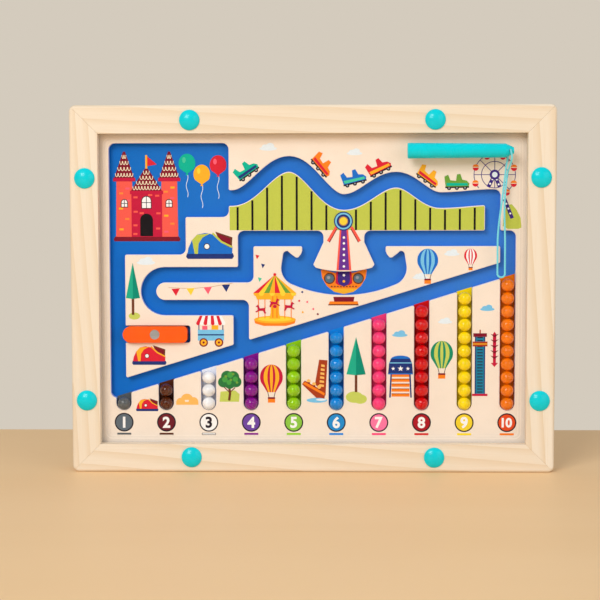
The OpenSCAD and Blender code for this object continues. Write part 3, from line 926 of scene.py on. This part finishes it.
def print_coaster_car(ink, x, turn, body, trim):
    """A coaster car with a high nose; it sits on the rail at its own angle."""
    size = 1.15
    ink.at(x, lowest_on_rail(x, turn, 6.4 * size, 4.5 * size), turn, size)
    ink.box(-6.4, -3.4, 6.4, -2.5, "ink", 2)
    for wheel in (-4.4, -0.2, 4.2):
        print_rings(ink, wheel, -3.4, ((1.1, "ink"), (0.45, "grey")), 3)
    ink.shape([(-6.2, -2.6), (-6.8, 2.8), (-4.8, 3.8), (-3.6, 0.8), (-0.6, 0.4), (0, 3.9),
               (1.8, 4.1), (2.8, 1), (5.2, 0.4), (6.6, -1.2), (6.2, -2.6)], body, 4)
    ink.shape([(-5.6, -2.2), (-5.8, -0.6), (5.6, -0.9), (5.7, -2.2)], trim, 5)


def print_coaster(ink):
    """Trestle under the coaster channel and the cars above it."""
    edge = [(x, z - 0.6) for x, z in wave_edge(-1)]
    base_z, left_x, right_x = 150.6, -51.6, 106.5
    inner = [(x, z) for x, z in edge if left_x < x < right_x]
    ink.shape([(left_x, base_z), (right_x, base_z), (right_x, height_at(edge, right_x))]
              + inner[::-1] + [(left_x, height_at(edge, left_x))], "lime")
    for post in range(17):
        x = -46.6 + 9.2 * post
        if abs(x - 18.0) > 1:
            ink.box(x - 0.65, base_z, x + 0.65, height_at(edge, x) - 0.6, "black", 2)
    cars = ((-41.2, 35, "teal", "navy"), (6.6, -50, "orange", "red"), (25.6, 14, "blue", "mint"),
            (41, 26, "red", "amber"), (72.4, -36, "amber", "red"), (89.6, 1, "leaf", "teal"))
    for x, turn, body, trim in cars:
        print_coaster_car(ink, x, turn, body, trim)


def print_ferris_wheel(ink):
    """Ferris wheel beside the end of the coaster, and the hill below it."""
    ink.at(0, 0)
    hill = [(121, 151.2), (127.5, 151.2), (129.5, 152), (129, 158), (126.5, 163), (123.5, 166.5),
            (120.5, 166), (118.6, 161), (118, 153)]
    ink.shape(hill, "lime")
    ink.at(112.8, 184.8)
    rim_r = 12.8
    for angle in range(0, 360, 45):
        reach = 8.4 if angle == 270 else rim_r
        if angle != 225:
            ink.stroke([(0, 0), around(reach, angle)], 0.4, "indigo", 3)
    for radius, start, end in ((rim_r, -56, 218), (8.2, -86, 274)):
        for angle in range(start, end, 6):
            x, z = around(radius, angle)
            if z > -8.2 or x > 5:
                ink.stroke([(x, z), around(radius, angle + 6.3)], 0.4, "indigo", 3)
    for leg in ([(0, 0), (3.1, -7.7)], [(6.1, -15), (11, -27)], [(0, 0), (-3.9, -7.7)]):
        ink.stroke(leg, 2.2, "indigo", 4)
    for step in (1, 2, 5, 6, 7, 8):
        ink.disc(11 * step / 9, -27 * step / 9, 0.62, "white", 5)
    for step in (1, 2):
        ink.disc(-1.4 * step, -2.8 * step, 0.62, "white", 5)
    for angle in (22, 67, 112, 157, 202, 306, 337):
        px, pz = around(rim_r, angle)
        ink.shape(cup(px, pz - 0.6, 1.9, 2.0, 12), "red", 5)
        ink.shape(arch(px, pz - 0.2, 1.9, 1.6, 12), "orange", 5)
        ink.box(px - 1.9, pz - 0.6, px + 1.9, pz - 0.2, "cream", 6)
    print_rings(ink, 0, 0, ((3.1, "indigo"), (1.7, "cloud")), 6)


def print_ship_hull(ink):
    """Orange hull of the swing ride, on the floor of its bay."""
    ink.at(19.5, 118.8)
    deck = [(x, 6.6 - 2.2 * (1 - (x / 11) ** 2)) for x in range(1, 12, 2)]
    ink.mirrored(deck + [(12, 8.2), (14.4, 6.6), (13.6, 1.6), (10.6, -3.4), (6, -7), (0, -8.4)],
                 "orange", 1)
    ink.mirrored([(8.8, -4.9), (6, -7), (0, -8.4)], "amber", 2)
    for step in range(-4, 5):
        ink.box(1.9 * step - 0.5, -4.0, 1.9 * step + 0.5, -3.3, "brown", 3)
    for x in (-9.0, 9.0):
        print_rings(ink, x, 1.4, ((3.5, "brown"), (2.7, "slate")), 2)
        ink.disc(x - 0.6, 2.0, 1.0, "grey", 4)
    ink.mirrored([(4.6, 8), (5.2, -1.6), (3.4, -2.8)], "crimson", 4)
    ink.shape([(-3.4, 8), (3.4, 8), (3.9, 2)] + oval(0, 0.4, 3.9, 3.8, 0, -180, 16)
              + [(-3.9, 2)], "indigo", 5)
    ink.disc(0, -0.4, 0.8, "amber", 6)
    ink.disc(0, 3.4, 0.8, "white", 6)


def print_swing_ride(ink):
    """Mast, hub and struts of the swing ride on the raised island."""
    ink.at(19.5, 0)
    for side in (-1, 1):
        ink.stroke([(side * 4.6, 152.6), (side * 9.8, 143.6)], 1.8, "coral", 2)
        ink.stroke([(side * 4.4, 151.2), (side * 9.0, 143.0)], 0.5, "maroon", 3)
    ink.mirrored([(2.6, 151), (4.6, 125.6)], "coral", 4)
    ink.mirrored([(1.6, 151), (3.3, 125.8)], "violet", 5)
    for step in range(6):
        ink.disc(0, 146 - 3.6 * step, 0.75, "white", 6)
    ink.at(19.2, 156.2, level=6)
    print_rings(ink, 0, 0, ((5.9, "navy"), (5.2, "sky"), (4.2, "navy"), (2.9, "tan"),
                            (2.3, "yellow")), 1)
    ink.at(19.5, 0)
    ink.shape([(-9.8, 103.7), (9.2, 103.7), (8.6, 106.2), (-8.8, 106.2)], "orange", 2)
    ink.shape([(-9.8, 103.7), (9.2, 103.7), (9, 104.4), (-9.6, 104.4)], "brown", 3)
    ink.mirrored([(6, 106), (6.6, 109)], "maroon", 3)


def print_carousel(ink):
    """A striped carousel with its drum, poles and galloping horses."""
    ink.at(-23.6, 91.4)
    ink.mirrored([(13, 3.2), (12.4, 1), (7, -0.6)], "orange", 2)
    ink.oval(0, 3.4, 13.0, 2.4, "amber", 3)
    ink.oval(0, 3.7, 10.6, 1.5, "yellow", 4)
    ink.mirrored([(3.4, 4), (2.6, 8), (2.6, 15), (3.8, 19)], "amber", 5)
    for x in (-1.3, 1.3):
        ink.box(x - 0.35, 4.6, x + 0.35, 18.6, "orange", 6)
    ink.disc(0, 11.6, 1.1, "crimson", 7)
    for x in (-10.2, 10.2, -6.2, 6.2):
        ink.box(x - 0.25, 4.2, x + 0.25, 19, "orange", 5)
    for x, z, side in ((-8.6, 9.4, -1), (8.8, 11.2, 1), (-0.4, 13.4, 1)):
        print_horse(ink, x, z, side)
    ink.mirrored([(12.4, 19.6), (11.2, 16)], "amber", 6)
    stripes = 8
    for step in range(stripes):
        x0 = -13.4 + 26.8 * step / stripes
        x1 = -13.4 + 26.8 * (step + 1) / stripes
        colour = ("red", "yellow", "leaf", "amber")[step % 4]
        ink.shape([(x0, 20), (x1, 20), (0, 31.4)], colour, 7)
        ink.shape(cup((x0 + x1) / 2, 20, (x1 - x0) / 2, 1.9, 10),
                  "yellow" if step % 2 else "amber", 8)
    ink.disc(0, 31.6, 0.9, "red", 8)


def print_horse(ink, x, z, side):
    """A leaping horse no bigger than a fingernail; side 1 faces right."""
    horse = [(-3.6, -2.4), (-2.6, 0.6), (-3.4, 1.8), (-1.6, 1.4), (1, 1.2), (1.8, 3.4), (2.6, 3.8),
             (4, 2.4), (2.8, 2.2), (2.4, 0), (4.2, -1.2), (3.6, -1.8), (1.4, -0.6), (-1.4, -0.6),
             (-2.6, -2.8)]
    ink.shape([(x + side * px * 0.85, z + pz * 0.85) for px, pz in horse], "crimson", 9)


def print_bunting(ink):
    """Flags on a string and loose confetti round the carousel."""
    ink.at(0, 0)
    flags = ((-85.6, 112.4, "red"), (-76.3, 112.7, "yellow"), (-65.5, 113.4, "rose"),
             (-54.1, 114.9, "navy"), (-34.4, 134.1, "red"), (-30.9, 128.5, "navy"),
             (-32.9, 119.9, "mint"))
    for x, z, colour in flags[:4]:
        ink.shape([(x - 2.6, z + 1.6), (x + 2.6, z + 1.9), (x + 0.2, z - 2.8)], colour, 2)
    ink.stroke([(-90, 114.8), (-76, 114.2), (-64, 115.2), (-50, 117.6)], 0.25, "tan")
    for x, z, colour in flags[4:]:
        ink.shape([(x - 1.2, z + 1.3), (x + 1.3, z + 0.7), (x - 0.3, z - 1.6)], colour, 2)
    confetti = ((-6.5, 112, "navy"), (-3.4, 105.8, "rose"), (-6.2, 99.4, "amber"),
                (-8.4, 106.5, "red"), (0.4, 101.4, "rose"), (3.2, 98.2, "maroon"))
    for x, z, colour in confetti:
        ink.shape([(x - 0.8, z), (x, z + 0.8), (x + 0.8, z), (x, z - 0.8)], colour)


def print_food_stall(ink):
    """A wheeled stall with a striped awning."""
    ink.at(-63.7, 76.2)
    ink.box(-8.2, 5.4, 8.2, 12.2, "sky", 2)
    ink.box(-8.2, 8.6, 8.2, 9.4, "navy", 3)
    ink.box(-7.8, 12, -7.2, 17, "navy", 2)
    ink.box(7.2, 12, 7.8, 17, "navy", 2)
    ink.box(-5.4, 12.2, -2.2, 14.6, "rose", 3)
    ink.box(0.4, 12.2, 4.6, 15, "amber", 3)
    for step in range(8):
        x0 = -9.2 + 2.3 * step
        colour = "red" if step % 2 == 0 else "white"
        ink.shape([(x0, 16.4), (x0 + 2.3, 16.4), ((x0 + 2.3) * 0.74, 21), (x0 * 0.74, 21)],
                  colour, 4)
        ink.shape(cup(x0 + 1.15, 16.5, 1.15, 1.5, 8), colour, 5)
    for x in (-4.6, 5):
        print_rings(ink, x, 4.2, ((2.7, "maroon"), (1.9, "amber"), (0.7, "maroon")), 4)


def print_log_ride(ink):
    """A log boat dropping from a braced tower into a pool."""
    ink.at(0.6, 43.6)
    ink.shape([(0.8, 10.6), (3.4, 26), (8.6, 25.6), (7.4, 3.4)], "rust", 2)
    for step in range(6):
        ink.shape([(3.4 + 0.25 * step, 9.2 + 2.5 * step), (6.4 + 0.1 * step, 8.8 + 2.5 * step),
                   (6.4 + 0.1 * step, 10.2 + 2.5 * step), (3.5 + 0.25 * step, 10.6 + 2.5 * step)],
                  "sand", 3)
    ink.shape([(-7.4, 10.6), (-5.6, 12.8), (7.6, 5.4), (6.6, 1.4), (2.4, 1.2)], "rust", 4)
    ink.shape([(-6.8, 10.8), (-5.4, 12), (7, 4.9), (6.6, 3.4)], "orange", 5)
    for x, z in ((-3.2, 10.9), (0.2, 9.0), (3.4, 7.2)):
        ink.disc(x, z + 1.6, 1.2, "sand", 4)
        ink.box(x - 0.8, z - 0.6, x + 0.8, z + 0.9, "maroon", 4.5)
    ink.oval(2.0, 0.4, 6.4, 1.5, "sky", 5)
    ink.oval(4.6, 0.8, 3.2, 0.7, "cloud", 6)


def print_booth(ink):
    """A starred canopy on legs over a striped ramp."""
    ink.at(54.9, 45.8)
    for step in range(5):
        ink.box(-5.6, 0.6 + 3.1 * step, 5.6, 2.1 + 3.1 * step, "orange", 2)
        ink.box(-5.6, 2.1 + 3.1 * step, 5.6, 2.6 + 3.1 * step, "rust", 2)
    for side in (-1, 1):
        ink.stroke([(side * 6.6, 0), (side * 5.8, 16)], 0.9, "navy", 3)
    ink.mirrored([(7.8, 14.6), (7.2, 21.4), (6, 24.4)], "navy", 4)
    ink.shape(arch(0, 24.2, 6.0, 2.2, 16), "blue", 4)
    ink.stroke([(-7.2, 21.8), (7.2, 21.8)], 0.6, "sky", 5)
    ink.stroke([(-7.6, 15), (7.6, 15)], 0.7, "blue", 5)
    for x, radius in ((-4.6, 1.3), (0, 1.9), (4.6, 1.3)):
        ink.shape(star(x, 18.2, radius), "white", 6)


def print_drop_tower(ink):
    """A drop tower with its carriage near the top, and a rocket beside it."""
    ink.at(104.4, 47.4)
    ink.box(-2.7, 0, 2.7, 38.6, "petrol", 2)
    for step in range(19):
        ink.box(-1.7, 1.6 + 1.9 * step, 1.7, 2.2 + 1.9 * step, "ink", 3)
    ink.box(-3.2, 0, -2.5, 38.6, "navy", 3)
    ink.box(2.5, 0, 3.2, 38.6, "navy", 3)
    ink.box(-4.6, 30.6, 4.6, 33.6, "rust", 4)
    ink.box(-4.6, 31.8, 4.6, 32.4, "amber", 5)
    ink.box(-4.2, 36.6, 4.2, 38.8, "maroon", 4)
    ink.box(-0.4, 38.6, 0.4, 41, "rust", 4)
    ink.box(-4.8, -0.6, 4.8, 0.8, "crimson", 4)
    ink.at(113.4, 75.6)
    ink.mirrored([(0.9, -8), (1.1, 10), (0, 11.6)], "crimson", 2)
    for step in range(5):
        z = -5.6 + 3.4 * step
        ink.mirrored([(0, z), (2.6, z + 2.2), (0, z + 1.5)], "maroon", 3)
    ink.mirrored([(2.2, -8), (0, -10.6)], "crimson", 3)


def print_scenery(ink):
    """Clouds, trees and balloons spread over the raised board."""
    for x, z, size in ((-104, 130.4, 0.9), (-27.4, 201.2, 0.85), (26.1, 198.1, 0.75),
                       (86.6, 135.6, 0.75), (67, 121, 0.75), (82.6, 93.2, 0.7)):
        print_cloud(ink, x, z, size)
    for x, z, size in ((54.4, 85, 0.75), (108.8, 101.2, 0.7)):
        print_cloud(ink, x, z, size, "sky")
    ink.at(-111.6, 97)
    ink.oval(0, 0, 3.6, 2.2, "grass")
    print_pine(ink, -112.4, 108.3, 22, 4.4)
    ink.at(27.1, 46)
    ink.oval(-1, 0, 5.4, 3.6, "grass")
    ink.oval(2.6, -1.2, 4.2, 3.0, "grass")
    print_pine(ink, 27.1, 60.4, 23.4, 6.0)
    print_round_tree(ink, -52.1, 56.4)
    print_bush(ink, -79, 42.6, 1.1, "sand")
    for x, z, outer, stripe, size in (
            (-25.9, 58.6, "crimson", "amber", 1.32), (80.6, 73.6, "jade", "grass", 1.3),
            (71.6, 131.8, "blue", "sky", 1.2), (98.2, 134.6, "red", "white", 0.74)):
        print_air_balloon(ink, x, z, outer, stripe, size)


def print_balloons(ink):
    """Three party balloons beside the castle."""
    for x, z, colour, glint in ((-78.4, 192.2, "teal", "mint"), (-69.2, 185.4, "amber", "yellow"),
                                (-59, 191.2, "red", "rose")):
        print_balloon(ink, x, z, colour, glint)


def print_bumper_cars(ink):
    print_bumper_car(ink, -64.2, 133.6, "blue", 1.05, "lime")
    print_bumper_car(ink, -102.7, 66.9, "red", 0.76, "amber")
    print_bumper_car(ink, -104.2, 37.4, "red", 0.5, "amber")


def print_pictures(ink_finish):
    """Draws every printed picture, in one piece for each part of the board."""
    floor, board = (FLOOR_Y, "printed_floor"), (RAISED_Y, "printed_board")
    pieces = {
        "print_column_bottoms": (floor, [print_columns]),
        "print_castle": (floor, [print_castle, print_balloons]),
        "print_ship_hull": (floor, [print_ship_hull]),
        "print_numbers": (board, [print_counting]),
        "print_coaster": (board, [print_coaster, print_ferris_wheel]),
        "print_rides": (board, [print_swing_ride, print_carousel, print_bunting,
                                print_food_stall, print_log_ride, print_booth, print_drop_tower,
                                print_bumper_cars]),
        "print_scenery": (board, [print_scenery])}
    for name, ((surface, slot), pictures) in pieces.items():
        ink = Print(surface)
        for picture in pictures:
            picture(ink)
        ink.finish(name, ink_finish)


# ---------- stage, light and camera ----------


def add_stage():
    """A plain pale table top that ends behind the board, as in the photo."""
    mesh = bpy.data.meshes.new("table_top")
    left, right, near, far, under = -2500, 2500, -3000, 162, -30
    corners = [(x, y, z) for z in (under, 0) for x, y in
               ((left, near), (right, near), (right, far), (left, far))]
    faces = [(0, 3, 2, 1), (4, 5, 6, 7), (0, 1, 5, 4), (1, 2, 6, 5), (2, 3, 7, 6), (3, 0, 4, 7)]
    mesh.from_pydata([Vector(corner) * MM for corner in corners], [], faces)
    material, tree, shader = new_material("table_finish", Roughness=0.55)
    tone = noise(tree, 5.0, (0.3, 2, 1), detail=3.0)
    feed(tree, shader, mix(tree, tone, (250, 214, 166), (241, 202, 151)))
    mesh.materials.append(material)
    add_object("table_top", mesh)


def add_area_light(name, place, target, size, watts, colour):
    """A square light that faces its target."""
    light = bpy.data.lights.new(name, "AREA")
    light.size = size
    light.energy = watts
    light.color = colour
    obj = add_object(name, light)
    obj.location = place
    obj.rotation_euler = (Vector(target) - Vector(place)).to_track_quat("-Z", "Y").to_euler()


def add_lights():
    """Soft key from the upper left, a weak fill from the right and a pale room with dim corners."""
    middle = (0, 0, 0.114)
    add_area_light("key", (-0.85, -1.85, 1.2), middle, 0.95, 25.5, (1.0, 0.995, 0.985))
    add_area_light("fill", (1.4, -1.5, 0.7), middle, 1.4, 7, (0.97, 0.98, 1.0))
    world = bpy.data.worlds.new("room")
    world.use_nodes = True
    tree = world.node_tree
    background = tree.nodes["Background"]
    ray = add_node(tree, "LightPath")
    colour = mix(tree, ray.outputs["Is Camera Ray"], (204, 203, 201), (212, 203, 189))
    tree.links.new(colour, background.inputs["Color"])
    tree.links.new(remap(tree, ray.outputs["Is Glossy Ray"], 0.0, 1.0, 1.0, 0.2),
                   background.inputs["Strength"])
    bpy.context.scene.world = world


def add_camera():
    """Camera at the photo's place, found from the frame's corners and caps."""
    camera = bpy.data.cameras.new("camera")
    camera.lens = 97.6
    camera.sensor_width = 36
    obj = add_object("camera", camera)
    obj.location = (0.0153, -1.0131, 0.1828)
    obj.rotation_euler = [radians(angle) for angle in (85.72, 0.115, 1.304)]
    bpy.context.scene.camera = obj


shared_finishes = {"board": board_material(),
                   "turquoise": plastic_material("turquoise_plastic", (0, 212, 226))}
finish_cad_nodes(shared_finishes)
for rail in ("top_rail", "bottom_rail", "left_rail", "right_rail"):
    soften_edges(rail, RAIL_ROUND)
for layer in ("maze_surround", "upper_island", "lower_island"):
    soften_edges(layer, BOARD_ROUND)
soften_edges("gate_slider", GATE_ROUND, clamp=True)
draw_in("clear_lid", LID_DRAW_IN)
build_caps(shared_finishes["turquoise"])
build_cord(cord_material())
print_pictures(ink_material())
add_stage()
add_lights()
add_camera()
bpy.context.scene.view_settings.view_transform = "Standard"
